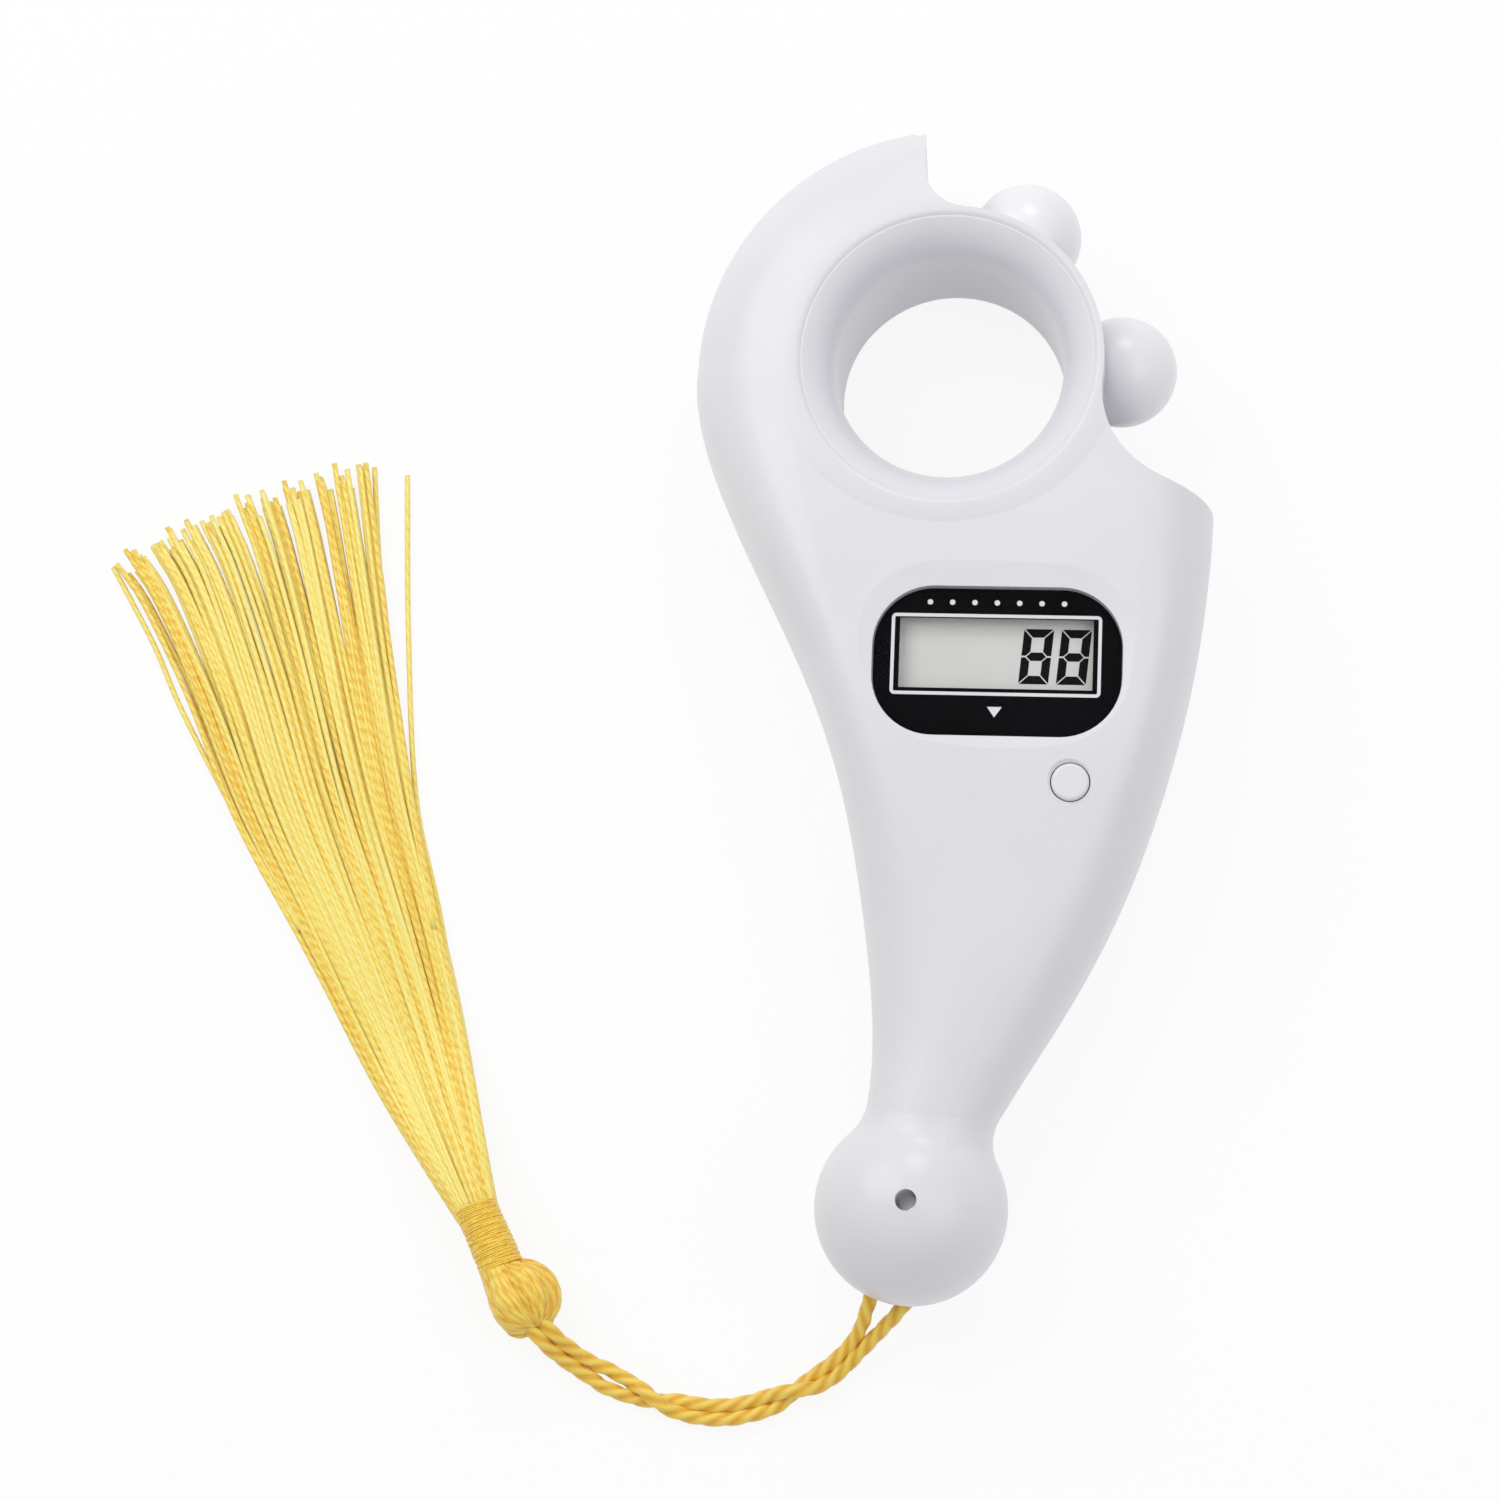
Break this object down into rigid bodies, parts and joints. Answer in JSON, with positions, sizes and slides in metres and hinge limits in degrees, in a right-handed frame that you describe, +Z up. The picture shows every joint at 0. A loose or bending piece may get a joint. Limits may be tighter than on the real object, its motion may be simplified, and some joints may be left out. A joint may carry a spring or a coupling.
{
  "type": "digital tasbih counter",
  "caption": "Finger-ring tally counter: a bead wheel turns in the open side of its ring, with a small display, a reset button, a tail ball and a tasselled cord.",
  "frame": {"origin": "middle of the housing's box in plan, on the table it lies on", "axes": "+Z up out of the display and along the finger bore, +Y from the tail ball to the ring, +X to the ring's open side"},
  "size_m": [0.1105, 0.1259, 0.0204],
  "materials": {
    "shell_white": "moulded gloss",
    "bead_white": "moulded gloss",
    "lens_clear": "clear polished",
    "mask_black": "black print",
    "panel_glass": "pale grey reflective",
    "holder_white": "moulded matte",
    "strip_rubber": "soft",
    "board_green": "solder resist",
    "blob_black": "cast resin",
    "chip_black": "ceramic",
    "button_white": "moulded gloss",
    "switch_black": "moulded matte",
    "cell_steel": "satin",
    "contact_metal": "plated",
    "screw_steel": "plated",
    "yarn_yellow": "lustrous yarn"
  },
  "bodies": {
    "housing": {"front_shell": "shell_white", "rear_shell": "shell_white", "display_lens": "lens_clear", "lens_mask": "mask_black", "lcd_panel": "panel_glass", "lcd_holder": "holder_white", "contact_strips": "strip_rubber", "circuit_board": "board_green", "controller_blob": "blob_black", "board_resistors": "chip_black", "reset_switch": "switch_black", "battery_cell": "cell_steel", "battery_spring": "contact_metal", "battery_clip": "contact_metal", "count_leaf": "contact_metal", "count_post": "contact_metal", "housing_screws": "screw_steel", "board_screws": "screw_steel", "lanyard_cord": "yarn_yellow", "tassel_head": "yarn_yellow", "tassel_binding": "yarn_yellow", "tassel_skirt": "yarn_yellow"},
    "bead_wheel": {"bead_wheel": "bead_white"},
    "reset_button": {"reset_button": "button_white", "reset_plunger": "switch_black"},
    "battery_cover": {"battery_cover": "shell_white"}
  },
  "joints": [
    {"name": "bead_wheel_turn", "type": "hinge", "parent": "housing", "child": "bead_wheel", "pos_m": [-0.00031, 0.03214, 0.01], "axis": [0, 0, 1], "continuous": true},
    {"name": "reset_press", "type": "slide", "parent": "housing", "child": "reset_button", "axis": [0, 0, -1], "range_m": [0, 0.0005], "stiffness_N_per_m": 1500},
    {"name": "battery_cover_turn", "type": "hinge", "parent": "housing", "child": "battery_cover", "pos_m": [0.00524, 0.00094, 0.001], "axis": [0, 0, 1], "range_deg": [0, 60]}
  ]
}
